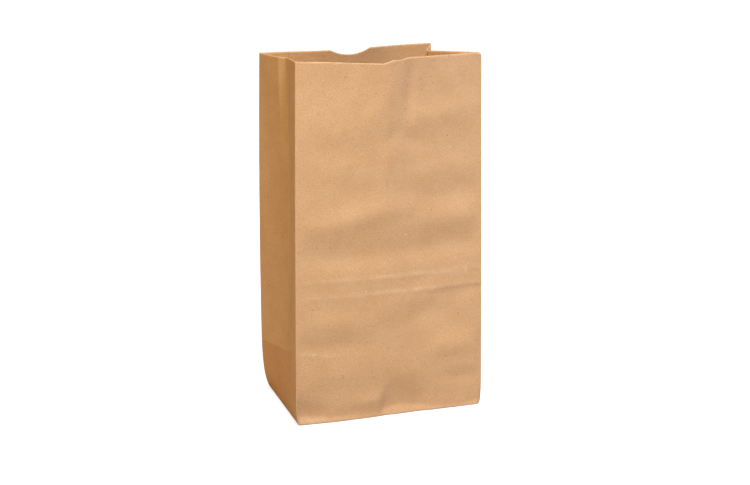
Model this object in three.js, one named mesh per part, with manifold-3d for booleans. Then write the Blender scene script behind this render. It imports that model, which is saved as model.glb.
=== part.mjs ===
// Brown paper lunch bag with a self-opening square bottom, standing open.
//
// Millimetres, +Z up. The origin is the middle of the bottom's underside. The
// front panel faces -Y, the panel with the thumb notch is the rear one.
//
// The bag is folded from one sheet of kraft paper: a tube of four panels with
// a glued lap seam, an inward crease down each side gusset, and an end that is
// squared off by two pasted trapezoid flaps. The paper keeps its thickness
// everywhere, so the part is a thin shell that is open at the mouth.

import * as THREE from 'three';
import * as BufferGeometryUtils from 'three/addons/utils/BufferGeometryUtils.js';
import Module from 'manifold-3d';

const wasm = await Module();
wasm.setup();

// Driving dimensions of the folded bag
const panelWidth = 152.4;
const gussetWidth = 92.1;
const bagHeight = 281;
const paperThickness = 0.13;

// Square bottom: the flaps reach past the middle of the bottom and are pasted
const flapLap = 10;
const flapTipWidth = 40;

// Glued lap seam down the rear panel, measured from its left edge
const seamInset = 14;
const seamLap = 11;
const seamStep = 0.4;

// Saw-toothed cut edge and the thumb notch in the rear panel
const toothPitch = 1.6;
const toothDepth = 0.4;
const notchWidth = 36;
const notchDepth = 4.3;

// Rim height at the mouth's folds, above or below the bag's height
const rimRise = {
  frontLeft: 0,
  frontRight: 1.4,
  rightCrease: 0.5,
  rearRight: 2.2,
  rearLeft: -1.7,
  leftCrease: -1.5,
};

// How far each fold stands from the bottom's corner: at the mouth, and as a
// swell that starts a little above the bottom and fades towards the mouth
const foldLean = {
  frontLeft: { mouth: [0.3, -2.9], swell: [-2.5, -2.2], start: 6 },
  frontRight: { mouth: [-1.8, 6.0], swell: [0.6, -2.2], start: 6 },
  rearRight: { mouth: [-12.1, -7.0], swell: [0.8, 1.6], start: 20 },
  rearLeft: { mouth: [-3.2, -4.0], swell: [-5.6, 0.6], start: 13 },
};

// Depth of the gussets' inward creases, at the bottom crease and at the mouth
const leftGusset = { low: 9.6, belly: 1.2, mouth: 6.6 };
const rightGusset = { low: 8.5, belly: 0, mouth: 26 };

// Height of the crease left by the folded bottom, at each upright fold
const bottomCrease = {
  frontLeft: 58,
  frontMiddle: 47,
  frontRight: 46,
  rightCrease: 46,
  rearRight: 46,
  rearLeft: 42,
  leftCrease: 51,
};
const creaseFadeHeight = 90;

// Two creases across the bag where it was folded over in its bundle
const packCreaseLow = 101.5;
const packCreaseHigh = 114.2;
const packCreaseDepth = 0.7;

// Front panel at the mouth: it stands out in a soft ridge, and the edge left of
// the ridge is bent back into the bag
const ridgeAt = 0.46;
const ridgeOut = 13;
const ridgeLength = 80;
const bentLipDepth = 3.7;
const bentLipEnd = 0.57;

// Rear panel at the mouth: it is pressed in, mostly left of the notch
const rearPressIn = 12;
const rearPressEnd = 0.85;
const rearPressLength = 90;

// Low waves across the front panel, as height, half length and depth
const frontWaves = [
  { at: 30, half: 16, out: 0.8 },
  { at: 62, half: 14, out: -0.7 },
  { at: 138, half: 13, out: 0.9 },
  { at: 160, half: 12, out: -0.9 },
  { at: 190, half: 15, out: 0.8 },
];

// Height over which the panels round into the bottom's fold
const bottomRound = 8;

// Mesh steps: columns of each panel, the tallest row, and the band under the cut
const frontColumns = 16;
const rearColumns = 12;
const gussetColumns = 4;
const tallestRow = 16;
const edgeBand = 1.5;

// Short steps over the paper's face, as a share of a panel and as a height
const stepAcross = 0.002;
const stepUp = 0.5;

const halfWidth = panelWidth / 2;
const halfDepth = gussetWidth / 2;
const flapDepth = halfDepth + flapLap;
const floorLevel = 2 * paperThickness;
const innerFloorLevel = 3 * paperThickness;

const corners = {
  frontLeft: [-halfWidth, -halfDepth],
  frontRight: [halfWidth, -halfDepth],
  rearRight: [halfWidth, halfDepth],
  rearLeft: [-halfWidth, halfDepth],
};

const mix = THREE.MathUtils.lerp;
const clamp01 = (value) => THREE.MathUtils.clamp(value, 0, 1);

// Rises from 0 to 1 and back over a panel's width, as a tent with its top at peak
function tent(across, peak) {
  return across < peak ? across / peak : (1 - across) / (1 - peak);
}

// A smooth hill of one unit at the middle, zero past half its length
function hill(distance, half) {
  const ratio = Math.min(Math.abs(distance) / half, 1);
  return 0.5 + 0.5 * Math.cos(Math.PI * ratio);
}

// Plan position of an upright fold at a height, as a share of the bag's height
function foldPoint(name, share, height) {
  const [x, y] = corners[name];
  const { mouth, swell, start } = foldLean[name];
  const swollen = (1 - Math.exp(-height / start)) * (1 - share * share);
  return new THREE.Vector2(
    x + mouth[0] * share + swell[0] * swollen,
    y + mouth[1] * share + swell[1] * swollen,
  );
}

// Depth of a gusset's middle crease above the bottom crease
function gussetDepth(gusset, height, creaseHeight) {
  const above = clamp01((height - creaseHeight) / (bagHeight - creaseHeight));
  const grown = mix(gusset.low, gusset.mouth, Math.pow(above, 1.5));
  return grown + gusset.belly * Math.sin(Math.PI * above);
}

// How far the front panel stands out of the plane between its folds
function frontRelief(across, height) {
  const toMouth = Math.max(bagHeight - height, 0);
  const ridge = ridgeOut * tent(across, ridgeAt) * Math.exp(-toMouth / ridgeLength);
  const fixedEnds = Math.sin(Math.PI * across);
  const waves = frontWaves.reduce(
    (sum, wave) => sum + wave.out * hill(height - wave.at, wave.half),
    0,
  );
  return ridge + waves * Math.sqrt(Math.max(fixedEnds, 0)) + packCrease(height);
}

// How far the rear panel stands out of the plane between its folds
function rearRelief(fromLeft, height) {
  const toMouth = Math.max(bagHeight - height, 0);
  const middle = rearPressEnd / 2;
  const pressed = hill(fromLeft - middle, middle);
  const fade = Math.exp(-toMouth / rearPressLength);
  return packCrease(height) - rearPressIn * pressed * fade;
}

// Two shallow dents along the creases of the folded bundle
function packCrease(height) {
  const reach = (packCreaseHigh - packCreaseLow) / 2;
  const low = hill(height - packCreaseLow, reach);
  const high = hill(height - packCreaseHigh, reach);
  return -packCreaseDepth * (low + high);
}

// The panels in order round the bag, seen from above against the clock. A
// gusset is two panels that meet at its crease.
const panels = [
  { from: 'frontLeft', to: 'frontRight', columns: frontColumns, kind: 'front' },
  { from: 'frontRight', to: 'rightCrease', columns: gussetColumns, kind: 'gusset' },
  { from: 'rightCrease', to: 'rearRight', columns: gussetColumns, kind: 'gusset' },
  { from: 'rearRight', to: 'rearLeft', columns: rearColumns, kind: 'rear' },
  { from: 'rearLeft', to: 'leftCrease', columns: gussetColumns, kind: 'gusset' },
  { from: 'leftCrease', to: 'frontLeft', columns: gussetColumns, kind: 'gusset' },
];
const gussetOf = {
  rightCrease: { ends: ['frontRight', 'rearRight'], size: rightGusset },
  leftCrease: { ends: ['rearLeft', 'frontLeft'], size: leftGusset },
};

// Height of the bottom crease at a place on a panel
function bottomCreaseHeight(panel, across) {
  const start = bottomCrease[panel.from];
  const end = bottomCrease[panel.to];
  if (panel.kind !== 'front') {
    return mix(start, end, across);
  }
  const middle = bottomCrease.frontMiddle;
  return across < 0.5 ? mix(start, middle, 2 * across) : mix(middle, end, 2 * across - 1);
}

// Depth of the bend-back of the front panel's edge
function lipDepth(panel, across) {
  if (panel.kind !== 'front' || across > bentLipEnd) {
    return 0;
  }
  const rise = across / ridgeAt;
  const fall = (bentLipEnd - across) / (bentLipEnd - ridgeAt);
  return bentLipDepth * Math.min(rise, fall);
}

// A point of the paper's outer face. across runs from 0 to 1 over the panel,
// and level is the height on the flat sheet before the bag is skewed.
function paperPoint(panel, across, level) {
  const creaseHeight = bottomCreaseHeight(panel, across);
  const flatCrease = bottomCrease.rightCrease;
  const rim = mix(rimRise[panel.from], rimRise[panel.to], across);
  let height = level;
  if (level < flatCrease) {
    height = (level * creaseHeight) / flatCrease;
  } else if (level < creaseFadeHeight) {
    const share = (level - flatCrease) / (creaseFadeHeight - flatCrease);
    height = mix(creaseHeight, creaseFadeHeight, share);
  } else {
    const share = (level - creaseFadeHeight) / (bagHeight - creaseFadeHeight);
    height = level + rim * share * share;
  }

  const lip = lipDepth(panel, across);
  const lipStart = bagHeight + rim - lip;
  const bentBack = Math.max(height - lipStart, 0);
  const upright = Math.min(height, lip > 0 ? lipStart : height);
  const share = clamp01(upright / bagHeight);
  const point = planPoint(panel, across, upright, share, creaseHeight);
  return new THREE.Vector3(
    point.x,
    point.y + bentBack,
    Math.max(upright, 0) + floorLevel * (1 - share),
  );
}

// Plan position of a point of a panel at its height
function planPoint(panel, across, height, share, creaseHeight) {
  if (panel.kind === 'gusset') {
    return gussetPoint(panel, across, height, share, creaseHeight);
  }
  const start = foldPoint(panel.from, share, height);
  const end = foldPoint(panel.to, share, height);
  const point = start.clone().lerp(end, across);
  const run = end.clone().sub(start).normalize();
  const relief = panel.kind === 'front'
    ? frontRelief(across, height)
    : rearRelief(1 - across, height);
  const settled = relief * clamp01(height / bottomCrease.rightCrease);
  return point.add(new THREE.Vector2(run.y, -run.x).multiplyScalar(settled));
}

// Plan position in a gusset. Below the bottom crease it is a flat triangle
// between two slanting creases, above it the panel folds in to its middle.
function gussetPoint(panel, across, height, share, creaseHeight) {
  const crease = panel.from in gussetOf ? panel.from : panel.to;
  const { ends, size } = gussetOf[crease];
  const towardsCrease = crease === panel.to ? across : 1 - across;
  const overall = crease === panel.to ? across / 2 : 0.5 + across / 2;
  const start = foldPoint(ends[0], share, height);
  const end = foldPoint(ends[1], share, height);
  const run = end.clone().sub(start).normalize();
  const inward = new THREE.Vector2(-run.y, run.x);
  const rise = clamp01(height / creaseHeight);
  const depth = height < creaseHeight
    ? size.low * Math.min(rise, towardsCrease)
    : gussetDepth(size, height, creaseHeight) * towardsCrease;
  return start.clone().lerp(end, overall).add(inward.multiplyScalar(depth));
}

// The rear panel's columns with a pair at each edge of the lap seam, where the
// paper doubles
function withSeam(stops) {
  const { panel } = stops[0];
  const near = 1 - (seamInset + seamLap) / panelWidth;
  const far = 1 - seamInset / panelWidth;
  const step = seamStep / panelWidth;
  const clear = stops.filter(({ across }) => across < near - 2 * step || across > far + 2 * step);
  clear.push({ panel, across: near - step, layers: 1 });
  clear.push({ panel, across: near, layers: 2 });
  clear.push({ panel, across: far, layers: 2 });
  clear.push({ panel, across: far + step, layers: 1 });
  return clear.sort((a, b) => a.across - b.across);
}

// Columns round the bag, one per step of a panel
function ringColumns() {
  const columns = [];
  for (const panel of panels) {
    const stops = [];
    for (let step = 0; step < panel.columns; step += 1) {
      stops.push({ panel, across: step / panel.columns, layers: 1 });
    }
    columns.push(...(panel.kind === 'rear' ? withSeam(stops) : stops));
  }
  return columns;
}

// The outward direction of the paper, from two short steps on its face
function paperNormal(panel, across, level) {
  const left = paperPoint(panel, Math.max(across - stepAcross, 0), level);
  const right = paperPoint(panel, Math.min(across + stepAcross, 1), level);
  const low = paperPoint(panel, across, Math.max(level - stepUp, 0));
  const high = paperPoint(panel, across, level > stepUp ? level : level + stepUp);
  return right.sub(left).cross(high.sub(low)).normalize();
}

// The outer and inner face of the paper at a place. At a fold the two panels'
// directions are averaged.
function facePair(column, level) {
  const { panel, across, layers } = column;
  const middle = paperPoint(panel, across, level);
  const normal = paperNormal(panel, across, level);
  if (across === 0) {
    const index = panels.indexOf(panel);
    const before = panels[(index + panels.length - 1) % panels.length];
    normal.add(paperNormal(before, 1, level)).normalize();
  }
  const outer = middle.clone().addScaledVector(normal, (layers - 1) * paperThickness);
  const inner = middle.clone().addScaledVector(normal, -paperThickness);
  return { outer, inner };
}

// Depth of the thumb notch's arc at a place on a panel
function notchSag(panel, across) {
  const halfChord = notchWidth / 2;
  const off = (across - 0.5) * panelWidth;
  if (panel.kind !== 'rear' || Math.abs(off) >= halfChord) {
    return 0;
  }
  const radius = (halfChord * halfChord + notchDepth * notchDepth) / (2 * notchDepth);
  return Math.sqrt(radius * radius - off * off) - (radius - notchDepth);
}

// Level of the cut edge at a tooth's tip or in the gap between two teeth
function cutLevel(panel, across, isTip) {
  return bagHeight - notchSag(panel, across) - (isTip ? 0 : toothDepth);
}

// Level of the row under the cut, which is also where the front edge bends back
function underCutLevel({ panel, across }) {
  const band = cutLevel(panel, across, false) - edgeBand;
  return Math.min(band, bagHeight - lipDepth(panel, across));
}

// Levels of the rows of the flat sheet, through every named height
function rowLevels() {
  const top = bagHeight - notchDepth - toothDepth - 2 * edgeBand;
  const middle = (packCreaseLow + packCreaseHigh) / 2;
  const named = [
    0, bottomRound / 3, bottomRound, bottomCrease.rightCrease, creaseFadeHeight,
    packCreaseLow, middle, packCreaseHigh, top,
  ];
  const levels = [0];
  for (const level of named.sort((a, b) => a - b)) {
    const last = levels[levels.length - 1];
    const steps = Math.ceil((level - last) / tallestRow);
    for (let step = 1; step <= steps && level <= top; step += 1) {
      levels.push(mix(last, level, step / steps));
    }
  }
  return levels;
}

// Collects the shell's corners and triangles. A corner that both faces of the
// paper have is kept as a pair of indices.
class PaperMesh {
  constructor() {
    this.positions = [];
    this.indices = [];
  }

  addCorner(point) {
    return this.positions.push(point.x, point.y, point.z) / 3 - 1;
  }

  addPair({ outer, inner }) {
    return { outer: this.addCorner(outer), inner: this.addCorner(inner) };
  }

  addTriangle(a, b, c) {
    this.indices.push(a.outer, b.outer, c.outer);
    this.indices.push(c.inner, b.inner, a.inner);
  }

  addCutFace(here, there) {
    this.indices.push(here.outer, there.outer, there.inner);
    this.indices.push(here.outer, there.inner, here.inner);
  }

  toGeometry() {
    const geometry = new THREE.BufferGeometry();
    geometry.setAttribute('position', new THREE.Float32BufferAttribute(this.positions, 3));
    geometry.setIndex(this.indices);
    return geometry;
  }
}

// Corners of one row round the bag. The lowest row lies at the floor's two faces.
function addRow(mesh, columns, levelOf) {
  return columns.map((column) => {
    const level = levelOf(column);
    const pair = facePair(column, level);
    if (level === 0) {
      pair.outer.z = floorLevel;
      pair.inner.z = innerFloorLevel;
    }
    return mesh.addPair(pair);
  });
}

// The wall between two rows
function addWall(mesh, low, high) {
  for (let i = 0; i < low.length; i += 1) {
    const j = (i + 1) % low.length;
    mesh.addTriangle(low[i], low[j], high[j]);
    mesh.addTriangle(low[i], high[j], high[i]);
  }
}

// The floor, as a fan from its middle to the lowest row
function addFloor(mesh, lowest) {
  const middle = mesh.addPair({
    outer: new THREE.Vector3(0, 0, floorLevel),
    inner: new THREE.Vector3(0, 0, innerFloorLevel),
  });
  for (let i = 0; i < lowest.length; i += 1) {
    mesh.addTriangle(middle, lowest[(i + 1) % lowest.length], lowest[i]);
  }
}

// Corners of the teeth between a column and the next, with the two gaps at the ends
function addTeeth(mesh, column, next, start, end) {
  const { panel, across, layers } = column;
  const nextAcross = next.panel === panel ? next.across : 1;
  const width = panel.kind === 'gusset' ? gussetWidth / 2 : panelWidth;
  const teeth = Math.round(((nextAcross - across) * width) / toothPitch);
  const edge = [start];
  for (let point = 1; point < 2 * teeth; point += 1) {
    const place = mix(across, nextAcross, point / (2 * teeth));
    const level = cutLevel(panel, place, point % 2 === 1);
    edge.push(mesh.addPair(facePair({ panel, across: place, layers }, level)));
  }
  edge.push(end);
  return edge;
}

// The band of teeth on top of the highest row, and the paper's cut face
function addRim(mesh, columns, highest) {
  const gaps = addRow(mesh, columns, ({ panel, across }) => cutLevel(panel, across, false));
  for (let i = 0; i < columns.length; i += 1) {
    const j = (i + 1) % columns.length;
    const edge = addTeeth(mesh, columns[i], columns[j], gaps[i], gaps[j]);
    const half = Math.floor((edge.length - 1) / 2);
    for (let point = 0; point + 1 < edge.length; point += 1) {
      const base = point < half ? highest[i] : highest[j];
      mesh.addTriangle(base, edge[point + 1], edge[point]);
      mesh.addCutFace(edge[point], edge[point + 1]);
    }
    mesh.addTriangle(highest[i], highest[j], edge[half]);
  }
}

// The tube of paper with its floor, as one closed shell that is open at the mouth
function buildShell() {
  const mesh = new PaperMesh();
  const columns = ringColumns();
  const levels = [...rowLevels().map((level) => () => level), underCutLevel];
  const rows = levels.map((levelOf) => addRow(mesh, columns, levelOf));
  for (let row = 0; row + 1 < rows.length; row += 1) {
    addWall(mesh, rows[row], rows[row + 1]);
  }
  addRim(mesh, columns, rows[rows.length - 1]);
  addFloor(mesh, rows[0]);
  return mesh.toGeometry();
}

// Half the width of a bottom flap at a distance from the fold it hangs on
function flapHalfWidth(fromFold) {
  return mix(halfWidth, flapTipWidth / 2, fromFold / flapDepth);
}

// A flat layer of a bottom flap between two distances from its fold. side is
// -1 for the front flap and 1 for the rear one.
function flapLayer(side, near, far, bottom) {
  const yNear = side * (halfDepth - near);
  const yFar = side * (halfDepth - far);
  const shape = new THREE.Shape([
    new THREE.Vector2(-flapHalfWidth(near), yNear),
    new THREE.Vector2(flapHalfWidth(near), yNear),
    new THREE.Vector2(flapHalfWidth(far), yFar),
    new THREE.Vector2(-flapHalfWidth(far), yFar),
  ]);
  const layer = new THREE.ExtrudeGeometry(shape, {
    depth: paperThickness,
    bevelEnabled: false,
  });
  return layer.translate(0, 0, bottom);
}

// A three.js geometry as a solid for the joins
function toSolid(geometry) {
  const bare = geometry.index ? geometry.toNonIndexed() : geometry.clone();
  bare.deleteAttribute('normal');
  bare.deleteAttribute('uv');
  const merged = BufferGeometryUtils.mergeVertices(bare, 1e-5);
  return new wasm.Manifold(new wasm.Mesh({
    numProp: 3,
    vertProperties: new Float32Array(merged.attributes.position.array),
    triVerts: new Uint32Array(merged.index.array),
  }));
}

// A joined solid as a geometry with flat faces
function toGeometry(solid) {
  const mesh = solid.getMesh();
  const geometry = new THREE.BufferGeometry();
  geometry.setAttribute('position', new THREE.Float32BufferAttribute(mesh.vertProperties, 3));
  geometry.setIndex(new THREE.Uint32BufferAttribute(mesh.triVerts, 1));
  const flat = geometry.toNonIndexed();
  flat.computeVertexNormals();
  return flat;
}

// The whole bag: the tube and floor, with the rear flap under the floor and the
// front flap pasted over it
function buildBag() {
  const underReach = gussetWidth - flapDepth;
  const layers = [
    flapLayer(1, 0, flapDepth, paperThickness),
    flapLayer(-1, 0, underReach, paperThickness),
    flapLayer(-1, 0, flapDepth, 0),
  ];
  const joined = layers.reduce(
    (solid, layer) => solid.add(toSolid(layer)),
    toSolid(buildShell()),
  );
  return toGeometry(joined);
}

const kraftPaper = new THREE.MeshStandardMaterial({
  color: 0xd8a87c,
  roughness: 0.9,
  metalness: 0,
});

const bag = new THREE.Mesh(buildBag(), kraftPaper);
bag.name = 'paper_bag';

const model = new THREE.Group();
model.add(bag);

export default model;
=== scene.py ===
import math

import bmesh
import bpy
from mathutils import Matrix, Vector, noise


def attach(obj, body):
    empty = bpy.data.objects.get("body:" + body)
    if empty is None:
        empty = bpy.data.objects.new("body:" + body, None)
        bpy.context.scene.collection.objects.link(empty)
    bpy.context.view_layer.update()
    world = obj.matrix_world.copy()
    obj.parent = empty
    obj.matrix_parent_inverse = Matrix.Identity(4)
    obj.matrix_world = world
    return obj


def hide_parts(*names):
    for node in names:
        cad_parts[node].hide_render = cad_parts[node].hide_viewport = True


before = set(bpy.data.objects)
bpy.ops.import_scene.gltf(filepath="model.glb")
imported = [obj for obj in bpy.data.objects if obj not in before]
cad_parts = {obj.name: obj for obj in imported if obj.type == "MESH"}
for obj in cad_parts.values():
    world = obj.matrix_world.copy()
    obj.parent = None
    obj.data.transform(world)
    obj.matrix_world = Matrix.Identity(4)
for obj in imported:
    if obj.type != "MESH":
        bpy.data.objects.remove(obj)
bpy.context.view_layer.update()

# Brown kraft lunch bag, standing open. One sheet of paper is laid flat as a
# grid and folded into the bag. Lengths are millimetres until the sheet is
# scaled to metres at the end. The front panel faces -Y.

# The folded bag
PANEL_WIDTH = 152.4
GUSSET_WIDTH = 92.1
BAG_HEIGHT = 281.0
PAPER_THICKNESS = 0.12
LAYER_STEP = 0.13  # between pasted layers, a hair over the paper's thickness
FLAP_LAP = 10.0
SEAM_INSET = 14.0
SEAM_LAP = 11.0
SEAM_STEP = {"from_edge": 4.0, "length": 4.0, "depth": 1.3 * LAYER_STEP}
TOOTH_DEPTH = 0.4
NOTCH_WIDTH = 36.0
NOTCH_DEPTH = 4.3
WORN_CORNER = {"depth": 1.6, "half": 3.4}
CUT_FADE_START = 262.0  # the rows above follow the cut edge more and more

HALF_WIDTH = PANEL_WIDTH / 2
HALF_DEPTH = GUSSET_WIDTH / 2
FLAP_DEPTH = HALF_DEPTH + FLAP_LAP

# How high each kind of panel starts: at the bottom the front's flap lies under
# the rear's, and both lie under the side panels' triangles
FOOT_HEIGHT = {"front": 0.0, "rear": LAYER_STEP, "gusset": 2 * LAYER_STEP}

# Rim height at the mouth's folds, above or below the bag's height
RIM_RISE = {
    "front_left": 0.0,
    "front_right": 1.4,
    "right_crease": 0.5,
    "rear_right": 2.2,
    "rear_left": -1.7,
    "left_crease": -1.5,
}

# How far each fold stands from the bottom's corner: at the mouth, and as a
# swell that starts a little above the bottom and fades towards the mouth
FOLD_LEAN = {
    "front_left": {"mouth": (0.8, -2.9), "swell": (-2.3, -1.4), "start": 6.0},
    "front_right": {"mouth": (-1.8, 6.0), "swell": (1.0, -1.4), "start": 6.0},
    "rear_right": {"mouth": (-12.1, -7.0), "swell": (0.8, 1.6), "start": 20.0},
    "rear_left": {"mouth": (-3.2, -4.0), "swell": (-5.6, 0.6), "start": 13.0},
}
CORNERS = {
    "front_left": (-HALF_WIDTH, -HALF_DEPTH),
    "front_right": (HALF_WIDTH, -HALF_DEPTH),
    "rear_right": (HALF_WIDTH, HALF_DEPTH),
    "rear_left": (-HALF_WIDTH, HALF_DEPTH),
}

# Depth of the gussets' middle creases: at the bottom crease, how much deeper
# soon above it, a swell halfway up, and at the mouth
LEFT_GUSSET = {"low": 4.6, "step": 5.0, "belly": 2.6, "mouth": 7.6}
RIGHT_GUSSET = {"low": 8.5, "step": 0.0, "belly": 0.0, "mouth": 26.0}
STEP_LENGTH = 26.0
GUSSET_GROWTH = 1.5  # above 1, the gusset deepens mostly near the mouth

# The gussets' middles are rounded low down and creased sharply above. At the
# mouth the left one's rear half bends in only beside its crease.
SHARP_CREASE = {"start": 60.0, "end": 170.0}
SHARP_BEND = {"start": 185.0, "end": 265.0}
SHARP_BEND_STOPS = ((0.0, 0.0), (0.83, 0.52), (1.001, 1.0))

# Height of the crease left by the folded bottom, at each upright fold. On the
# flat sheet it is level, and above it the rows become level again.
BOTTOM_CREASE = {
    "front_left": 60.0,
    "front_middle": 47.0,
    "front_right": 46.0,
    "right_crease": 46.0,
    "rear_right": 46.0,
    "rear_left": 42.0,
    "left_crease": 47.5,
}
FLAT_CREASE = 46.0
CREASE_FADE_HEIGHT = 90.0

# Creases across the bag where it was folded over in its bundle: a fine ridge
# with a hollow under it, which on the front deepens from the middle rightwards
PACK_CREASES = (101.5, 114.2)
CREASE_HOLLOWS = (0.60, 0.12)
PACK_RIDGE = {"out": 0.15, "half": 3.4}
PACK_HOLLOW = {"below": 4.5, "half": 5.5}
PACK_FAINTEST = 0.6
PACK_DEEPENING = {"start": 0.0, "end": 70.0}
REAR_PACK_STRENGTH = 0.5

# The mouth: the front stands out in a ridge with a bent-back edge at its left,
# the rear is pressed in
RIDGE_AT = 0.46
RIDGE_OUT = 13.0
RIDGE_LENGTH = 120.0
LIP_STOPS = ((0.0, 0.0), (0.43, 3.7), (0.475, 1.6), (0.525, 1.6), (0.556, 0.0))
REAR_PRESS_IN = 12.0
REAR_PRESS_END = 0.85
REAR_PRESS_LENGTH = 62.0
REAR_FLAT_END = 12.0  # the rear's relief grows from the table up to here
LIP_DROOP = 0.12

# Soft folds of the front panel, roughly from the mouth down: middle x and z,
# half length and half width, turn from level in degrees, and height outwards
FRONT_FOLDS = (
    (12, 259, 27, 5.5, 86, -1.3),
    (24, 250, 24, 11, 84, -0.7),
    (-2, 224, 15, 6, 55, -0.7),
    (13, 222, 11, 6, -48, -0.7),
    (-14, 243, 18, 7, 60, 0.7),
    (41, 238, 36, 9, 6, 1.3),
    (18, 218, 20, 7, -10, -0.5),
    (-50, 232, 36, 16, 6, 1.1),
    (-52, 200, 30, 10, -6, 0.6),
    (42, 196, 38, 8, 6, 0.6),
    (44, 176, 42, 8, 2, -1.0),
    (47, 157, 32, 9, 4, 1.3),
    (-46, 158, 32, 9, 4, 1.3),
    (-6, 168, 32, 9, 8, 1.5),
    (32, 134, 52, 9, 3, -1.3),
    (-42, 133, 36, 9, -2, -1.1),
    (-8, 142, 26, 9, 5, -0.5),
    (24, 98, 24, 8, 16, 0.9),
    (24, 80, 22, 8, 16, -0.4),
    (-45, 80, 24, 8, 0, 1.0),
    (-47, 62, 26, 6, -6, -0.8),
    (52, 54, 19, 9, 4, 1.8),
    (-46, 38, 34, 9, 4, 0.5),
    (8, 40, 24, 9, 10, 0.3),
    (56, 34, 30, 28, 0, 1.9),
    (58, 26, 22, 7, -4, -1.1),
    (-22, 12, 18, 7, 4, 1.2),
)

FARTHEST_REACH = 9.0  # where a soft fold ends, in squared half widths

# Shares of the front's width in which the soft folds and the strip below grow
# from nothing at the upright folds
SOFT_FOLD_MARGIN = 0.06
STRIP_MARGIN = 0.02

# The front's bottom edge leans out to the table as a strip. Along the panel's
# x: how far the edge stands out on the table, the strip's height, and the
# height over which the strip passes into the soft folds above it.
FOOT_OUT = (
    (-76, 0.0), (-62, 1.6), (-46, 3.0), (-14, 3.1), (-5, 2.0), (4, 2.7),
    (24, 2.3), (34, 3.6), (70, 4.2), (76, 3.4),
)
STRIP_HEIGHTS = (
    (-76, 6.8), (-63, 5.8), (-48, 4.1), (-32, 2.8), (-13, 1.6), (-10, 1.7),
    (-6, 5.8), (4, 7.4), (17, 6.6), (29, 4.5), (42, 2.2), (56, 1.9), (64, 3.0),
    (71, 4.6), (77, 5.0),
)
STRIP_RISES = ((-76, 28.0), (-56, 16.0), (-16, 14.0), (2, 28.0), (76, 24.0))
STRIP_LEAN = 0.34

# Soft folds of the other panels, as along the sheet, level, half length, half
# width, turn and height outwards
SIDE_FOLDS = (
    (20, 210, 14, 60, 0, -0.5),
    (14, 120, 12, 40, 8, 0.5),
    (66, 150, 12, 50, 0, 0.5),
    (28, 70, 20, 10, 12, -0.5),
    (17, 27, 16, 4.5, 42, -0.6),
    (70, 24, 12, 7, -30, -0.5),
    (262, 190, 14, 45, 4, 0.6),
    (268, 90, 18, 14, -20, -0.6),
    (312, 140, 14, 40, 6, -0.6),
    (318, 240, 12, 22, -8, 0.5),
    (300, 26, 22, 8, 28, 0.6),
    (360, 205, 30, 10, 12, 0.9),
    (430, 190, 34, 9, -8, -0.8),
    (400, 150, 44, 10, 4, 0.9),
    (370, 125, 40, 9, -5, -0.8),
    (440, 90, 32, 9, 10, 0.8),
    (372, 66, 34, 10, 14, -0.8),
    (420, 34, 34, 9, -10, 0.7),
)

# Fine unevenness of handled paper: height, and bumps per metre of sheet. It
# fades towards the folds, the table and the seam. The slice is the level at
# which the solid noise is cut.
UNEVENNESS = ((0.30, 30), (0.13, 75), (0.035, 190))
UNEVEN_SLICE = 0.37
UNEVEN_MARGIN = {"fold": 7.0, "table": 14.0, "seam": 30.0}

# Where the folds and the creases are rubbed pale, and where the front's bottom strip gets a
# painted highlight: strength, half width, and where along the front the paleness ends. The
# bent-back lip gets a painted highlight from its bend to the cut edge.
FOLD_WEAR = {"strength": 0.45, "half": 1.0}
FOOT_WEAR = {"strength": 0.6, "half": 1.2}
BOTTOM_CREASE_WEAR = {"strength": 0.7, "half": 1.4, "right_end": -42.0}
# Painted highlight on the front's bottom strip
STRIP_PAINTED_HIGHLIGHT = {"strength": 0.6, "level": 3.0, "half": 5.0, "start": -25.0, "end": -75.0}
# Painted highlight on the bent-back lip
LIP_PAINTED_HIGHLIGHT = {"full_lip": 0.8, "edge": 0.6}

# The pack creases are paler towards the right of the front. There the lower one's paleness
# fades out, and the upper one's widens and lies lower.
PACK_PALENESS = {"front_left": 0.28, "front_right": 0.62, "elsewhere": 0.09}
PACK_PALENESS_GROWTH = {"start": -76.0, "end": 4.0}
PACK_PALENESS_PLACE = {"half": 2.9, "above": 0.6}
LOWER_PALENESS_FADE = {"start": 30.0, "end": 60.0, "left": 0.2}
UPPER_PALENESS_SPREAD = {"start": 20.0, "end": 50.0, "half": 3.8, "above": -1.0}

# Painted shade on the side panels: a darker, redder tone under the bottom crease, less
# towards the front
PAINTED_SHADE_EDGE = 0.6
PAINTED_SHADE_FADE = 0.8

# Steps of the grid that the sheet is folded from. A fold is rounded over its
# radius to each side, and has extra rows or columns there.
COLUMN_STEP = 1.6
FOLD_RADIUS = 1.1
FOLD_STOPS = (0.45, 1.1)
FLAP_STEP = 9.0
LOW_STEP = HALF_DEPTH / 29  # as many rows below the bottom crease
BOTTOM_CREASE_STOP = 0.6
WALL_STEP = 3.4
PACK_CREASE_STOPS = (-2.5, -1.2, -0.5, 0.0, 0.5, 1.4)
PACK_ROWS = {"below": 3.5, "above_low": 3.2, "above_high": 3.6, "step": 3.0}
MOUTH_ROWS = 7.0
MOUTH_STOPS = (6.6, 5.4, 4.4, 3.6, 2.9, 2.2, 1.5, TOOTH_DEPTH)
WELD = 0.01

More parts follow.
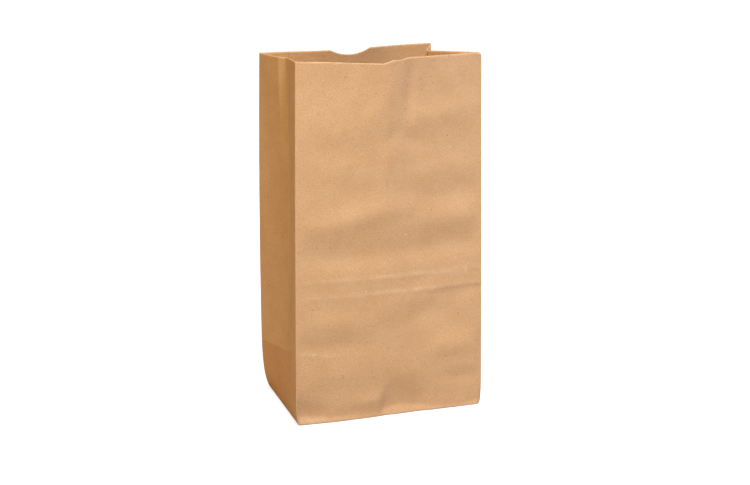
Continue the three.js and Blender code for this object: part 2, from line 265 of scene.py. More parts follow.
# The paper's patterns, which lie on the flat sheet. A noise is its bumps per
# metre, detail and roughness. A pattern's colour comes in between the values
# of its range, and shows gives how much of it there is at the range's ends.
# The grain's two colours multiply what lies under them.
CLOUD = {"noise": (42.0, 4.0, 0.6), "range": (0.34, 0.68), "shows": (0.0, 1.0),
         "dark": (0.648, 0.368, 0.197, 1), "pale": (0.692, 0.404, 0.226, 1)}
BLOTCH = {"noise": (190.0, 3.0, 0.65), "range": (0.50, 0.74), "shows": (0.0, 0.45),
          "colour": (0.600, 0.334, 0.174, 1)}
GRAIN = {"noise": (1150.0, 2.0, 0.7), "range": (0.30, 0.70), "shows": (0.0, 1.0),
         "dark": (0.905, 0.860, 0.790, 1), "pale": (1.095, 1.140, 1.210, 1)}
FELT = {"scale": 1500.0, "stretch": (1.0, 0.7, 1.0), "range": (0.38, 0.60),
        "shows": (0.0, 0.40), "colour": (0.580, 0.316, 0.162, 1)}
LONG_FELT = {"scale": 760.0, "stretch": (1.0, 0.4, 1.0), "range": (0.56, 0.72),
             "shows": (0.0, 0.22), "colour": (0.780, 0.500, 0.305, 1)}
# The pale colour of wear and of painted highlights, broken up by noise
RUBBED_AND_HIGHLIGHT = {"noise": (110.0, 4.0, 0.75), "range": (0.40, 0.60), "shows": (0.15, 1.0),
          "colour": (0.900, 0.640, 0.430, 1)}

# The felt's fibres: fine ones and, turned and farther apart, coarse ones
FINE_FIBRES = (3.0, 0.6)
COARSE_FIBRES = (2.0, 0.5)
COARSE_TURN = 0.9
COARSE_SCALE = 0.45

# Specks: cells per metre, size of a speck in its cell, share of the cells that
# hold one, how much it shows, and its colour
SPECKS = (
    {"cells": 95.0, "size": 0.052, "share": 0.22, "shows": 0.55,
     "colour": (0.880, 0.640, 0.420, 1)},
    {"cells": 210.0, "size": 0.105, "share": 0.16, "shows": 0.45,
     "colour": (0.290, 0.135, 0.055, 1)},
    {"cells": 85.0, "size": 0.062, "share": 0.22, "shows": 0.55,
     "colour": (0.270, 0.120, 0.048, 1)},
)
SPECK_WOBBLE = {"scale": 900.0, "reach": 0.0012}
SMALLEST_SPECK = 0.45
SPECK_EDGE = 0.55

# The paper's surface: how much its wear and painted highlights show outside and inside, the
# tint of each side, where the inside's is partly its duller inner face and partly painted
# shade inside the bag, the painted shade of the side panels under the bottom crease, its
# gloss and its relief
OUTSIDE_WEAR_AND_HIGHLIGHT = 0.42
INSIDE_WEAR_AND_HIGHLIGHT = 0.0
OUTSIDE_SHADE = (1.0, 1.0, 1.0)
# The inside's tint: partly the duller inner face, partly painted shade inside the bag
INSIDE_TINT_AND_PAINTED_SHADE = (0.90, 0.93, 0.88)
# Colour of the painted shade under the side panels' bottom crease
SIDE_PAINTED_SHADE_COLOUR = (0.97, 0.85, 0.73, 1)
PAPER_GLOSS = 0.25
PAPER_ROUGHNESS = {"range": (0.3, 0.7), "shows": (0.78, 0.92)}
RELIEF = {"felt": 0.5, "swell": 1.6, "blotch": 2.2}
RELIEF_SWELL = (210.0, 2.0)
BUMP = {"Strength": 0.30, "Distance": 0.00022}

# The white table glows a little less beside the bag, so that its shadow shows
TABLE_HALF = 12.0
TABLE_COLOUR = (0.44, 0.45, 0.48, 1)
TABLE_ROUGHNESS = 0.9
TABLE_GLOSS = 0.1
TABLE_GLOW = {"near": (0.74, 0.77, 0.84, 1), "far": (1.02, 1.02, 1.02, 1),
              "start": 0.25, "end": 0.85}

# Lamps and camera, in metres
AMBIENT_COLOUR = (1.0, 0.52, 0.18, 1)
AMBIENT_STRENGTH = 0.236
LAMPS = {
    "key": {"place": (0.05, -0.95, 1.80), "size": 0.6, "power": 48.4,
            "colour": (0.73, 0.865, 1.0)},
    "fill": {"place": (-1.2, -0.85, 1.3), "size": 0.8, "power": 12.0,
             "colour": (1.0, 0.80, 0.12)},
    "back": {"place": (0.9, 1.25, 1.2), "size": 0.9, "power": 30.0,
             "colour": (1.0, 0.95, 0.88)},
}
LAMP_AIM = (0.0, 0.0, 0.14)
CAMERA_PLACE = (-0.3115, -0.9064, 0.3715)
CAMERA_TILT = 75.82
CAMERA_TURN = -19.09
CAMERA_LENS = 59.18


def mix(a, b, share):
    """The value at a share of the way from a to b."""
    return a + (b - a) * share


def clamp01(value):
    """A value held between 0 and 1."""
    return min(max(value, 0.0), 1.0)


def smooth(value):
    """Rises from 0 to 1 with a value, gently at both ends."""
    value = clamp01(value)
    return value * value * (3 - 2 * value)


def share_between(span, place):
    """How far a place has come between a span's start and end, smoothly."""
    return smooth((place - span["start"]) / (span["end"] - span["start"]))


def at_stop(stops, place):
    """The value at a place between stops of place and value."""
    for (start, value), (end, next_value) in zip(stops, stops[1:]):
        if start <= place < end:
            return mix(value, next_value, (place - start) / (end - start))
    return stops[0][1] if place < stops[0][0] else stops[-1][1]


def tent(across, peak):
    """Rises from 0 to 1 and back over a panel's width, with its top at peak."""
    return across / peak if across < peak else (1 - across) / (1 - peak)


def hill(distance, half):
    """A smooth hill of one unit, zero past half its length."""
    return 0.5 + 0.5 * math.cos(math.pi * min(abs(distance) / half, 1.0))


# The panels in order along the sheet. The sheet starts with the inner strip
# of the lap seam, behind the rear panel's left edge.
SEAM_START = -(SEAM_INSET + SEAM_LAP)
PANELS = []
for first, last, kind, length in (
    ("rear_left", "left_crease", "gusset", HALF_DEPTH),
    ("left_crease", "front_left", "gusset", HALF_DEPTH),
    ("front_left", "front_right", "front", PANEL_WIDTH),
    ("front_right", "right_crease", "gusset", HALF_DEPTH),
    ("right_crease", "rear_right", "gusset", HALF_DEPTH),
    ("rear_right", "rear_left", "rear", PANEL_WIDTH),
):
    begin = PANELS[-1]["end"] if PANELS else 0.0
    PANELS.append({"from": first, "to": last, "kind": kind, "start": begin,
                   "end": begin + length, "length": length})
SHEET_END = PANELS[-1]["end"] - SEAM_INSET
FOLDS = [panel["start"] for panel in PANELS]
GUSSETS = {
    "left_crease": (("rear_left", "front_left"), LEFT_GUSSET),
    "right_crease": (("front_right", "rear_right"), RIGHT_GUSSET),
}


def place_on(along):
    """The panel at a distance along the sheet, and the share across it."""
    if along < 0:
        return PANELS[-1], 1 + along / PANEL_WIDTH
    for panel in PANELS:
        if along <= panel["end"]:
            return panel, clamp01((along - panel["start"]) / panel["length"])
    return PANELS[-1], 1.0


def fold_point(name, height):
    """Plan position of an upright fold at a height."""
    x, y = CORNERS[name]
    lean = FOLD_LEAN[name]
    share = clamp01(height / BAG_HEIGHT)
    swollen = (1 - math.exp(-height / lean["start"])) * (1 - share * share)
    return Vector((x + lean["mouth"][0] * share + lean["swell"][0] * swollen,
                   y + lean["mouth"][1] * share + lean["swell"][1] * swollen))


def soft_fold(fold, x, z):
    """Height of one soft fold at a place on its panel."""
    middle_x, middle_z, half_length, half_width, turn, out = fold
    off_x, off_z = x - middle_x, z - middle_z
    cosine, sine = math.cos(math.radians(turn)), math.sin(math.radians(turn))
    run = (off_x * cosine + off_z * sine) / half_length
    rise = (off_z * cosine - off_x * sine) / half_width
    reach = run * run + rise * rise
    return out * math.exp(-reach) if reach < FARTHEST_REACH else 0.0


def pack_relief(height, strength):
    """Two fine ridges where the folded bundle creased the paper. The stronger
    the crease, the deeper the hollow under it."""
    relief = 0.0
    for crease, deep in zip(PACK_CREASES, CREASE_HOLLOWS):
        below = crease - height
        ridge = PACK_RIDGE["out"] * hill(below, PACK_RIDGE["half"])
        hollow = hill(below - PACK_HOLLOW["below"], PACK_HOLLOW["half"])
        relief += ridge - deep * strength * hollow
    return relief * mix(PACK_FAINTEST, 1.0, strength)


def front_relief(across, height):
    """How far the front panel stands out from between its folds."""
    x = (across - 0.5) * PANEL_WIDTH
    to_mouth = max(BAG_HEIGHT - height, 0.0)
    from_fold = min(across, 1 - across)
    ridge = RIDGE_OUT * tent(across, RIDGE_AT) * math.exp(-to_mouth / RIDGE_LENGTH)
    soft = sum(soft_fold(fold, x, height) for fold in FRONT_FOLDS)
    packed = pack_relief(height, share_between(PACK_DEEPENING, x))
    relief = ridge + smooth(from_fold / SOFT_FOLD_MARGIN) * soft + packed

    top = at_stop(STRIP_HEIGHTS, x)
    ends = smooth(from_fold / STRIP_MARGIN)
    lean = FOLD_LEAN["front_left"]
    swollen = -lean["swell"][1] * (1 - math.exp(-height / lean["start"]))
    strip = ends * (at_stop(FOOT_OUT, x) - STRIP_LEAN * min(height, top) - swollen)
    return mix(strip, relief, smooth((height - top) / at_stop(STRIP_RISES, x)))


def rear_relief(from_left, height):
    """How far the rear panel stands out from between its folds."""
    to_mouth = max(BAG_HEIGHT - height, 0.0)
    pressed = hill(from_left - REAR_PRESS_END / 2, REAR_PRESS_END / 2)
    press = REAR_PRESS_IN * pressed * math.exp(-to_mouth / REAR_PRESS_LENGTH)
    relief = pack_relief(height, REAR_PACK_STRENGTH) - press
    return relief * clamp01(height / REAR_FLAT_END)


def bottom_crease_height(panel, across):
    """Height of the folded bottom's crease at a share across a panel."""
    start = BOTTOM_CREASE[panel["from"]]
    end = BOTTOM_CREASE[panel["to"]]
    if panel["kind"] != "front":
        return mix(start, end, across)
    middle = BOTTOM_CREASE["front_middle"]
    if across < 0.5:
        return mix(start, middle, 2 * across)
    return mix(middle, end, 2 * across - 1)


def lip_depth(panel, across):
    """Depth of the bend-back of the front panel's edge."""
    return at_stop(LIP_STOPS, across) if panel["kind"] == "front" else 0.0


def gusset_depth(gusset, height, crease_height):
    """Depth of a gusset's middle crease above the bottom crease."""
    above = clamp01((height - crease_height) / (BAG_HEIGHT - crease_height))
    stepped = 1 - math.exp(-max(height - crease_height, 0.0) / STEP_LENGTH)
    soon = gusset["low"] + gusset["step"] * stepped
    grown = mix(soon, gusset["mouth"], above ** GUSSET_GROWTH)
    return grown + gusset["belly"] * math.sin(math.pi * above)


def gusset_profile(panel, towards, height):
    """Share of a gusset's depth at a share of the way in to its middle."""
    sharp = share_between(SHARP_CREASE, height)
    profile = mix(math.sin(math.pi / 2 * towards), towards, sharp)
    if panel["from"] == "rear_left":
        bent = at_stop(SHARP_BEND_STOPS, towards)
        profile = mix(profile, bent, share_between(SHARP_BEND, height))
    return profile


def gusset_point(panel, across, height, crease_height):
    """Plan position in a side panel, which is flat at the bottom and folds in
    to its middle on the way up."""
    crease = panel["from"] if panel["from"] in GUSSETS else panel["to"]
    ends, size = GUSSETS[crease]
    leaving = crease == panel["to"]
    towards = across if leaving else 1 - across
    overall = across / 2 if leaving else 0.5 + across / 2
    start = fold_point(ends[0], height)
    end = fold_point(ends[1], height)
    run = (end - start).normalized()
    inward = Vector((-run.y, run.x))
    folded = gusset_profile(panel, towards, height)
    if height < crease_height:
        risen = height / crease_height
        depth = size["low"] * folded * risen * (2 - risen)
    else:
        depth = gusset_depth(size, height, crease_height) * folded
    return start.lerp(end, overall) + inward * depth


def wall_point(panel, across, level, seam_side):
    """A point of the paper's outer face above the bottom fold."""
    crease_height = bottom_crease_height(panel, across)
    rim = mix(RIM_RISE[panel["from"]], RIM_RISE[panel["to"]], across)
    if level < FLAT_CREASE:
        height = level * crease_height / FLAT_CREASE
    elif level < CREASE_FADE_HEIGHT:
        share = (level - FLAT_CREASE) / (CREASE_FADE_HEIGHT - FLAT_CREASE)
        height = mix(crease_height, CREASE_FADE_HEIGHT, share)
    else:
        share = (level - CREASE_FADE_HEIGHT) / (BAG_HEIGHT - CREASE_FADE_HEIGHT)
        height = level + rim * share * share

    lip = lip_depth(panel, across)
    lip_start = BAG_HEIGHT + rim - lip
    bent_back = max(height - lip_start, 0.0) if lip > 0 else 0.0
    upright = height - bent_back
    if panel["kind"] == "gusset":
        plan = gusset_point(panel, across, upright, crease_height)
    else:
        start = fold_point(panel["from"], upright)
        end = fold_point(panel["to"], upright)
        run = (end - start).normalized()
        if panel["kind"] == "front":
            relief = front_relief(across, upright)
        else:
            relief = rear_relief(1 - across, upright) - seam_side
        plan = start.lerp(end, across) + Vector((run.y, -run.x)) * relief
    raised = FOOT_HEIGHT[panel["kind"]] * (1 - clamp01(upright / BAG_HEIGHT))
    return Vector((plan.x, plan.y + bent_back, upright + raised - LIP_DROOP * bent_back))


def flap_point(panel, across, reach, seam_side):
    """A point of the square bottom at a distance from the fold it hangs on."""
    foot = FOOT_HEIGHT[panel["kind"]]
    if panel["kind"] == "front":
        return Vector(((2 * across - 1) * (HALF_WIDTH - reach), reach - HALF_DEPTH, foot))
    if panel["kind"] == "rear":
        x = (1 - 2 * across) * (HALF_WIDTH - reach)
        return Vector((x, HALF_DEPTH - reach, foot + seam_side))
    crease = panel["from"] if panel["from"] in GUSSETS else panel["to"]
    overall = across / 2 if crease == panel["to"] else 0.5 + across / 2
    side = -1 if crease == "left_crease" else 1
    y = side * (2 * overall - 1) * max(HALF_DEPTH - reach, 0.0)
    return Vector((side * (HALF_WIDTH - reach), y, foot))


def seam_offset(along):
    """How far inside the sheet's first strip lies, under the lapped edge."""
    if along >= 0:
        return 0.0
    under = -(along + SEAM_INSET - SEAM_STEP["from_edge"]) / SEAM_STEP["length"]
    return SEAM_STEP["depth"] * smooth(under)


def sheet_point(along, level):
    """A point of the folded sheet with sharp folds."""
    panel, across = place_on(along)
    seam_side = seam_offset(along)
    if level >= 0:
        return wall_point(panel, across, level, seam_side)
    return flap_point(panel, across, -level, seam_side)


def round_samples(value, folds):
    """The places that a point near a fold is blended from, with weights."""
    for fold in folds:
        off = (value - fold) / FOLD_RADIUS
        if abs(off) < 1:
            share = (off + 1) / 2
            return ((fold - FOLD_RADIUS, (1 - share) ** 2),
                    (fold, 2 * share * (1 - share)),
                    (fold + FOLD_RADIUS, share ** 2))
    return ((value, 1.0),)


def rounded_point(along, level):
    """A point of the folded sheet with its folds rounded."""
    point = Vector((0.0, 0.0, 0.0))
    for sample_level, level_weight in round_samples(level, (0.0,)):
        for sample_along, along_weight in round_samples(along, FOLDS):
            weight = level_weight * along_weight
            if weight > 0:
                point += weight * sheet_point(sample_along, sample_level)
    return point


def notch_sag(along):
    """Depth of the thumb notch's arc."""
    panel, across = place_on(along)
    off = (across - 0.5) * PANEL_WIDTH
    half_chord = NOTCH_WIDTH / 2
    if panel["kind"] != "rear" or abs(off) >= half_chord:
        return 0.0
    radius = (half_chord ** 2 + NOTCH_DEPTH ** 2) / (2 * NOTCH_DEPTH)
    return math.sqrt(radius ** 2 - off ** 2) - (radius - NOTCH_DEPTH)


def spread(start, end, step):
    """Even stops between two ends, the last one left out."""
    count = max(round((end - start) / step), 1)
    return [mix(start, end, index / count) for index in range(count)]


def column_stops():
    """Places of the sheet's columns: even steps of one tooth, with more beside
    each fold."""
    ends = [SEAM_START, *FOLDS, SHEET_END]
    stops = []
    for start, end in zip(ends, ends[1:]):
        stops += spread(start, end, COLUMN_STEP)
    for fold in FOLDS:
        for off in FOLD_STOPS:
            stops += [fold - off, fold + off]
    return sorted(stops + [SHEET_END])


def row_stops():
    """Levels of the sheet's rows, from the flaps' tips to the mouth."""
    stops = [-FLAP_DEPTH, -HALF_DEPTH - FLAP_LAP / 2]
    stops += spread(-HALF_DEPTH, -FOLD_STOPS[1], FLAP_STEP)
    stops += [-FOLD_STOPS[1], -FOLD_STOPS[0], 0.0, *FOLD_STOPS]
    stops += spread(0, FLAT_CREASE, LOW_STEP)[1:]
    stops += [FLAT_CREASE + off for off in (-BOTTOM_CREASE_STOP, 0.0, BOTTOM_CREASE_STOP)]
    stops += spread(FLAT_CREASE, CREASE_FADE_HEIGHT, WALL_STEP)[1:]
    low, high = PACK_CREASES
    for crease in PACK_CREASES:
        stops += [crease + off for off in PACK_CREASE_STOPS]
    below, step = PACK_ROWS["below"], PACK_ROWS["step"]
    stops += spread(CREASE_FADE_HEIGHT, low - below, step)
    stops += spread(low + PACK_ROWS["above_low"], high - below, step)
    stops += spread(high + PACK_ROWS["above_high"], BAG_HEIGHT - MOUTH_ROWS, WALL_STEP)
    stops += [BAG_HEIGHT - off for off in MOUTH_STOPS]
    return sorted(stops)


def cut_level(along, level):
    """A row's level where the rows near the mouth follow the cut edge: the
    notch, and the front right corner, which is worn round."""
    if level < CUT_FADE_START:
        return level
    share = (level - CUT_FADE_START) / (BAG_HEIGHT - CUT_FADE_START)
    worn = WORN_CORNER["depth"] * hill(along - FOLDS[3], WORN_CORNER["half"])
    return level - (notch_sag(along) + worn) * share


def pack_crease_paleness(crease, level, x, on_front):
    """How pale a place is made by one of the pack creases."""
    half, above = PACK_PALENESS_PLACE["half"], PACK_PALENESS_PLACE["above"]
    strength = PACK_PALENESS["elsewhere"]
    if on_front:
        grown = share_between(PACK_PALENESS_GROWTH, x)
        strength = mix(PACK_PALENESS["front_left"], PACK_PALENESS["front_right"], grown)
    if crease == PACK_CREASES[0]:
        strength *= mix(1.0, LOWER_PALENESS_FADE["left"], share_between(LOWER_PALENESS_FADE, x))
    elif on_front:
        spread_out = share_between(UPPER_PALENESS_SPREAD, x)
        half = mix(half, UPPER_PALENESS_SPREAD["half"], spread_out)
        above = mix(above, UPPER_PALENESS_SPREAD["above"], spread_out)
    return strength * hill(level - crease - above, half)


def wear_and_painted_highlight(along, level):
    """How pale a place is made, from 0 to 1: worn at the folds, the bottom edge and the
    front's bottom crease, paler along the pack creases, and with painted highlights on the
    front's bottom strip and on the bent-back lip.
    """
    x = along - FOLDS[2] - HALF_WIDTH
    on_front = abs(x) < HALF_WIDTH
    near_fold = max(hill(along - fold, FOLD_WEAR["half"]) for fold in FOLDS)
    wear_and_highlight = max(FOLD_WEAR["strength"] * near_fold,
               FOOT_WEAR["strength"] * hill(level, FOOT_WEAR["half"]),
               *(pack_crease_paleness(crease, level, x, on_front) for crease in PACK_CREASES))
    if not on_front:
        return wear_and_highlight
    if x < BOTTOM_CREASE_WEAR["right_end"]:
        near_crease = hill(level - FLAT_CREASE, BOTTOM_CREASE_WEAR["half"])
        wear_and_highlight = max(wear_and_highlight, BOTTOM_CREASE_WEAR["strength"] * near_crease)
    # Painted highlight along the front's bottom strip
    near_strip = hill(level - STRIP_PAINTED_HIGHLIGHT["level"], STRIP_PAINTED_HIGHLIGHT["half"])
    wear_and_highlight = max(wear_and_highlight, STRIP_PAINTED_HIGHLIGHT["strength"] * share_between(STRIP_PAINTED_HIGHLIGHT, x) * near_strip)
    # Painted highlight on the bent-back lip, from its bend to the cut edge
    lip = lip_depth(*place_on(along))
    past_bend = (level - BAG_HEIGHT + lip + LIP_PAINTED_HIGHLIGHT["edge"]) / LIP_PAINTED_HIGHLIGHT["edge"]
    return max(wear_and_highlight, smooth(lip / LIP_PAINTED_HIGHLIGHT["full_lip"]) * smooth(past_bend))


def low_side_painted_shade(along, level):
    """How much painted shade a side panel gets under its bottom crease, from 0 to 1."""
    panel, across = place_on(along)
    if panel["kind"] != "gusset":
        return 0.0
    under = 1 - smooth((level - FLAT_CREASE + PAINTED_SHADE_EDGE) / (2 * PAINTED_SHADE_EDGE))
    near_front = 0.0
    if panel["to"] == "front_left":
        near_front = across
    elif panel["from"] == "front_right":
        near_front = 1 - across
    return under * (1 - PAINTED_SHADE_FADE * near_front)


def flat_grid(columns, rows):
    """The flat sheet as a grid from -0.5 to 0.5 both ways, with each point's
    place along the sheet and its level. The rim's edges are halved: a point
    between two columns is the tip of a tooth."""
    sheet = bmesh.new()
    sheet.loops.layers.uv.new("sheet")
    # Layers for wear with painted highlights, and for painted shade
    sheet.verts.layers.float.new("wear_and_painted_highlight")
    sheet.verts.layers.float.new("low_side_painted_shade")
    last_column, last_row = len(columns) - 1, len(rows) - 1
    bmesh.ops.create_grid(sheet, x_segments=last_column, y_segments=last_row, size=0.5)
    rim = [edge for edge in sheet.edges if min(vert.co.y for vert in edge.verts) > 0.4999]
    bmesh.ops.subdivide_edges(sheet, edges=rim, cuts=1)
    place = {}
    near = 0.1
    for vert in sheet.verts:
        across = (vert.co.x + 0.5) * last_column
        low, high = columns[math.floor(across + near)], columns[math.ceil(across - near)]
        level = rows[round((vert.co.y + 0.5) * last_row)] if low == high else BAG_HEIGHT
        place[vert] = ((low + high) / 2, level)
    return sheet, place


def fold_sheet():
    """The flat sheet, folded into the bag."""
    sheet, place = flat_grid(column_stops(), row_stops())
    flat = sheet.loops.layers.uv["sheet"]
    wear_and_highlight = sheet.verts.layers.float["wear_and_painted_highlight"]
    painted_shade_layer = sheet.verts.layers.float["low_side_painted_shade"]
    for face in sheet.faces:
        for loop in face.loops:
            along, level = place[loop.vert]
            loop[flat].uv = (along / 1000, level / 1000)
    for vert, (along, level) in place.items():
        vert.co = rounded_point(along, cut_level(along, level))
        # wear and painted highlights
        vert[wear_and_highlight] = wear_and_painted_highlight(along, level)
        # painted shade for the side panels under the bottom crease
        vert[painted_shade_layer] = low_side_painted_shade(along, level)
    return sheet, place


def crumple(sheet, place):
    """Moves each point in or out for the paper's fine unevenness and for the
    soft folds of the panels that don't face the front."""
    sheet.normal_update()
    moves = {}
    for vert, (along, level) in place.items():
        panel, across = place_on(along)
        from_fold = min(across, 1 - across) * panel["length"]
        settle = (smooth(from_fold / UNEVEN_MARGIN["fold"])
                  * smooth(level / UNEVEN_MARGIN["table"]))
        seam = (smooth((along - SEAM_START) / UNEVEN_MARGIN["seam"])
                * smooth((SHEET_END - along) / UNEVEN_MARGIN["seam"]))
        flat_place = Vector((along / 1000, level / 1000, UNEVEN_SLICE))
        uneven = sum(out * noise.noise(flat_place * bumps) for out, bumps in UNEVENNESS)
        if panel["kind"] != "front":
            uneven += sum(soft_fold(fold, along, level) for fold in SIDE_FOLDS)
        moves[vert] = vert.normal * settle * seam * uneven
    for vert, move in moves.items():
        vert.co += move


def trim_bottom(sheet, place):
    """Takes away the side panels' paper past the tips of their triangles."""
    spare = []
    for face in sheet.faces:
        spots = [place[vert] for vert in face.verts]
        along = sum(spot[0] for spot in spots) / len(spots)
        level = sum(spot[1] for spot in spots) / len(spots)
        if level < -HALF_DEPTH and place_on(along)[0]["kind"] == "gusset":
            spare.append(face)
    bmesh.ops.delete(sheet, geom=spare, context="FACES")
    bmesh.ops.remove_doubles(sheet, verts=sheet.verts, dist=WELD)


def make_bag(outside, inside):
    """The bag as one piece: the folded sheet with the paper's thickness."""
    sheet, place = fold_sheet()
    crumple(sheet, place)
    trim_bottom(sheet, place)
    bmesh.ops.scale(sheet, verts=sheet.verts, vec=(0.001, 0.001, 0.001))
    for face in sheet.faces:
        face.smooth = True
    mesh = bpy.data.meshes.new("folded_sheet")
    sheet.to_mesh(mesh)
    sheet.free()
    bag = bpy.data.objects.new("folded_sheet", mesh)
    bpy.context.scene.collection.objects.link(bag)
    mesh.materials.append(outside)
    mesh.materials.append(inside)
    wall = bag.modifiers.new("paper", "SOLIDIFY")
    wall.thickness = PAPER_THICKNESS / 1000
    wall.offset = -1
    wall.material_offset = 1
    return bag


# Material nodes
def new_group(name, inputs, outputs):
    """An empty node group with named sockets, and its two ends."""
    tree = bpy.data.node_groups.new(name, "ShaderNodeTree")
    for label, kind in inputs:
        tree.interface.new_socket(label, in_out="INPUT", socket_type=kind)
    for label, kind in outputs:
        tree.interface.new_socket(label, in_out="OUTPUT", socket_type=kind)
    start = tree.nodes.new("NodeGroupInput")
    end = tree.nodes.new("NodeGroupOutput")
    return tree, start, end


def add_node(tree, kind, settings=None, **sockets):
    """A node with its settings, and values or links for its sockets. A socket
    is given by its name, or as _ and its number."""
    node = tree.nodes.new(kind)
    for name, value in (settings or {}).items():
        setattr(node, name, value)
    for name, value in sockets.items():
        socket = node.inputs[int(name[1:])] if name[0] == "_" else node.inputs[name]
        if isinstance(value, bpy.types.NodeSocket):
            tree.links.new(value, socket)
        else:
            socket.default_value = value
    return node


def calculate(tree, operation, first, second, clamp=False):
    """The sum, product or other result of two values."""
    node = add_node(tree, "ShaderNodeMath", {"operation": operation, "use_clamp": clamp},
                    _0=first, _1=second)
    return node.outputs[0]


def rescale(tree, value, low, high, new_low=0.0, new_high=1.0):
    """A value that rises smoothly from one end to the other between two
    values of another."""
    node = add_node(tree, "ShaderNodeMapRange", {"interpolation_type": "SMOOTHSTEP"},
                    _0=value, _1=low, _2=high, _3=new_low, _4=new_high)
    return node.outputs[0]


def multiply_each(tree, first, second):
    """Two vectors or colours, multiplied part by part."""
    node = add_node(tree, "ShaderNodeVectorMath", {"operation": "MULTIPLY"},
                    _0=first, _1=second)
    return node.outputs[0]


def noise_value(tree, vector, scale, detail=2.0, roughness=0.5):
    """Soft random patches."""
    node = add_node(tree, "ShaderNodeTexNoise", {"noise_dimensions": "3D"}, Vector=vector,
                    Scale=scale, Detail=detail, Roughness=roughness)
    return node.outputs[0]


def specks_group():
    """Small scattered specks: a mask with one speck in some of the cells."""
    tree, start, end = new_group(
        "paper_specks",
        (("Place", "NodeSocketVector"), ("Cells", "NodeSocketFloat"),
         ("Size", "NodeSocketFloat"), ("Share", "NodeSocketFloat")),
        (("Mask", "NodeSocketFloat"),))
    bend = noise_value(tree, start.outputs["Place"], SPECK_WOBBLE["scale"])
    reach = SPECK_WOBBLE["reach"]
    wobble = add_node(tree, "ShaderNodeVectorMath", {"operation": "ADD"},
                      _0=start.outputs["Place"],
                      _1=multiply_each(tree, bend, (reach, reach, 0.0)))
    cells = add_node(tree, "ShaderNodeTexVoronoi", {"voronoi_dimensions": "2D"},
                     Vector=wobble.outputs[0], Scale=start.outputs["Cells"])
    draw = add_node(tree, "ShaderNodeSeparateColor", Color=cells.outputs["Color"])
    size = calculate(tree, "MULTIPLY", start.outputs["Size"],
                     rescale(tree, draw.outputs[1], 0.0, 1.0, SMALLEST_SPECK, 1.0))
    edge = calculate(tree, "MULTIPLY", size, SPECK_EDGE)
    inside = rescale(tree, cells.outputs["Distance"], size, edge)
    chosen = calculate(tree, "LESS_THAN", draw.outputs[0], start.outputs["Share"])
    tree.links.new(calculate(tree, "MULTIPLY", inside, chosen), end.inputs["Mask"])
    return tree


def fibres_group():
    """The felt of paper fibres that lie mostly along the web."""
    tree, start, end = new_group(
        "paper_fibres",
        (("Place", "NodeSocketVector"), ("Scale", "NodeSocketFloat"),
         ("Stretch", "NodeSocketVector")),
        (("Value", "NodeSocketFloat"),))
    along = multiply_each(tree, start.outputs["Place"], start.outputs["Stretch"])
    fine = noise_value(tree, along, start.outputs["Scale"], *FINE_FIBRES)
    turned = add_node(tree, "ShaderNodeVectorRotate", {"rotation_type": "Z_AXIS"},
                      Vector=along, Angle=COARSE_TURN)
    coarse_scale = calculate(tree, "MULTIPLY", start.outputs["Scale"], COARSE_SCALE)
    coarse = noise_value(tree, turned.outputs[0], coarse_scale, *COARSE_FIBRES)
    both = calculate(tree, "ADD", fine, coarse)
    tree.links.new(calculate(tree, "MULTIPLY", both, 0.5), end.inputs["Value"])
    return tree


def blend_colour(tree, share, first, second):
    """A colour between two others."""
    node = add_node(tree, "ShaderNodeMix", {"data_type": "RGBA", "clamp_factor": True},
                    _0=share, _6=first, _7=second)
    return node.outputs[2]


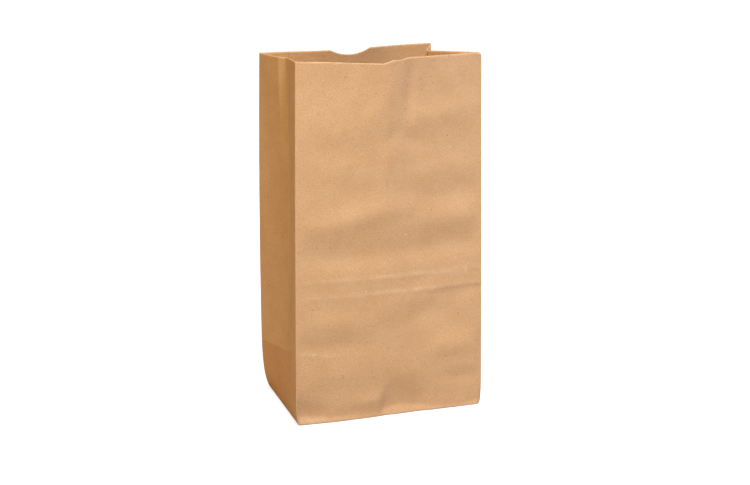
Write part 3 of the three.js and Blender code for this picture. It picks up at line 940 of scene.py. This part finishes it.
def kraft_material(name, specks, fibres, side_tint_and_painted_shade, wear_and_highlight_shows):
    """Handled kraft paper. A tint colours one side of the sheet; on the inside it is partly
    the duller inner face and partly painted shade. The pale colour marks wear and painted
    highlights, and the side panels get painted shade under the bottom crease.
    """
    material = bpy.data.materials.new(name)
    material.use_nodes = True
    tree = material.node_tree
    shader = tree.nodes["Principled BSDF"]
    place = add_node(tree, "ShaderNodeUVMap", {"uv_map": "sheet"}).outputs[0]

    def from_group(group, **values):
        node = add_node(tree, "ShaderNodeGroup", {"node_tree": group}, Place=place, **values)
        return node.outputs[0]

    def come_in(value, pattern):
        return rescale(tree, value, *pattern["range"], *pattern["shows"])

    def attribute(label):
        return add_node(tree, "ShaderNodeAttribute", {"attribute_name": label}).outputs["Fac"]

    felt = from_group(fibres, Scale=FELT["scale"], Stretch=FELT["stretch"])
    long_felt = from_group(fibres, Scale=LONG_FELT["scale"], Stretch=LONG_FELT["stretch"])
    grain = noise_value(tree, place, *GRAIN["noise"])
    cloud = noise_value(tree, place, *CLOUD["noise"])
    blotch = noise_value(tree, place, *BLOTCH["noise"])

    colour = blend_colour(tree, come_in(cloud, CLOUD), CLOUD["dark"], CLOUD["pale"])
    for value, pattern in ((blotch, BLOTCH), (felt, FELT), (long_felt, LONG_FELT)):
        colour = blend_colour(tree, come_in(value, pattern), colour, pattern["colour"])
    grainy = blend_colour(tree, come_in(grain, GRAIN), GRAIN["dark"], GRAIN["pale"])
    colour = multiply_each(tree, colour, grainy)
    for speck in SPECKS:
        mask = from_group(specks, Cells=speck["cells"], Size=speck["size"],
                          Share=speck["share"])
        shown = calculate(tree, "MULTIPLY", mask, speck["shows"])
        colour = blend_colour(tree, shown, colour, speck["colour"])

    broken = come_in(noise_value(tree, place, *RUBBED_AND_HIGHLIGHT["noise"]), RUBBED_AND_HIGHLIGHT)
    # The pale colour marks wear and painted highlights
    wear_and_highlight = calculate(tree, "MULTIPLY", attribute("wear_and_painted_highlight"), broken, clamp=True)
    shown = calculate(tree, "MULTIPLY", wear_and_highlight, wear_and_highlight_shows)
    colour = blend_colour(tree, shown, colour, RUBBED_AND_HIGHLIGHT["colour"])
    # Tint of each side, partly painted shade inside the bag, and painted shade under the side
    # panels' bottom crease
    tint_and_painted_shade = blend_colour(tree, attribute("low_side_painted_shade"), (*side_tint_and_painted_shade, 1), SIDE_PAINTED_SHADE_COLOUR)
    colour = multiply_each(tree, colour, tint_and_painted_shade)
    tree.links.new(colour, shader.inputs["Base Color"])
    tree.links.new(come_in(felt, PAPER_ROUGHNESS), shader.inputs["Roughness"])
    shader.inputs["Specular IOR Level"].default_value = PAPER_GLOSS

    swell = noise_value(tree, place, *RELIEF_SWELL)
    relief = calculate(tree, "ADD", calculate(tree, "MULTIPLY", felt, RELIEF["felt"]),
                       calculate(tree, "MULTIPLY", swell, RELIEF["swell"]))
    relief = calculate(tree, "ADD", relief,
                       calculate(tree, "MULTIPLY", blotch, RELIEF["blotch"]))
    bump = add_node(tree, "ShaderNodeBump", Height=relief, **BUMP)
    tree.links.new(bump.outputs[0], shader.inputs["Normal"])
    return material


def white_material():
    """A white table that stays white round the bag and takes its shadow."""
    material = bpy.data.materials.new("white_table")
    material.use_nodes = True
    tree = material.node_tree
    shader = tree.nodes["Principled BSDF"]
    shader.inputs["Base Color"].default_value = TABLE_COLOUR
    shader.inputs["Roughness"].default_value = TABLE_ROUGHNESS
    shader.inputs["Specular IOR Level"].default_value = TABLE_GLOSS
    place = add_node(tree, "ShaderNodeTexCoord").outputs["Object"]
    distance = add_node(tree, "ShaderNodeVectorMath", {"operation": "LENGTH"}, _0=place)
    away = rescale(tree, distance.outputs["Value"], TABLE_GLOW["start"], TABLE_GLOW["end"])
    glow = blend_colour(tree, away, TABLE_GLOW["near"], TABLE_GLOW["far"])
    tree.links.new(glow, shader.inputs["Emission Color"])
    seen = add_node(tree, "ShaderNodeLightPath").outputs["Is Camera Ray"]
    tree.links.new(seen, shader.inputs["Emission Strength"])
    return material


def make_stage():
    """The white table and the world, which is white only to the camera."""
    flat = bmesh.new()
    bmesh.ops.create_grid(flat, x_segments=1, y_segments=1, size=TABLE_HALF)
    mesh = bpy.data.meshes.new("table_top")
    flat.to_mesh(mesh)
    flat.free()
    mesh.materials.append(white_material())
    table = bpy.data.objects.new("table_top", mesh)
    bpy.context.scene.collection.objects.link(table)

    world = bpy.data.worlds.new("studio")
    bpy.context.scene.world = world
    world.use_nodes = True
    tree = world.node_tree
    ambient = tree.nodes["Background"]
    ambient.inputs["Color"].default_value = AMBIENT_COLOUR
    ambient.inputs["Strength"].default_value = AMBIENT_STRENGTH
    white = add_node(tree, "ShaderNodeBackground", Color=(1, 1, 1, 1), Strength=1.0)
    seen = add_node(tree, "ShaderNodeLightPath").outputs["Is Camera Ray"]
    choose = add_node(tree, "ShaderNodeMixShader", _0=seen, _1=ambient.outputs[0],
                      _2=white.outputs[0])
    tree.links.new(choose.outputs[0], tree.nodes["World Output"].inputs["Surface"])


def add_lamp(name, place, size, power, colour):
    """A round soft lamp that is turned to the bag."""
    lamp = bpy.data.lights.new(name, "AREA")
    lamp.shape = "DISK"
    lamp.size = size
    lamp.energy = power
    lamp.color = colour
    lit = bpy.data.objects.new(name, lamp)
    lit.location = place
    towards = Vector(LAMP_AIM) - Vector(place)
    lit.rotation_euler = towards.to_track_quat("-Z", "Y").to_euler()
    bpy.context.scene.collection.objects.link(lit)


def add_camera():
    """The camera, where the photo was taken from."""
    lens = bpy.data.cameras.new("camera")
    lens.sensor_width = 36.0
    lens.lens = CAMERA_LENS
    lens.clip_start = 0.02
    lens.clip_end = 60.0
    camera = bpy.data.objects.new("camera", lens)
    camera.location = CAMERA_PLACE
    camera.rotation_euler = (math.radians(CAMERA_TILT), 0.0, math.radians(CAMERA_TURN))
    bpy.context.scene.collection.objects.link(camera)
    bpy.context.scene.camera = camera


specks, fibres = specks_group(), fibres_group()
outside = kraft_material("kraft_paper_outside", specks, fibres, OUTSIDE_SHADE, OUTSIDE_WEAR_AND_HIGHLIGHT)
inside = kraft_material("kraft_paper_inside", specks, fibres, INSIDE_TINT_AND_PAINTED_SHADE, INSIDE_WEAR_AND_HIGHLIGHT)
bag = make_bag(outside, inside)
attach(bag, "root")
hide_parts("paper_bag")

make_stage()
for lamp, setup in LAMPS.items():
    add_lamp(lamp, **setup)
add_camera()
bpy.context.scene.view_settings.view_transform = "Standard"
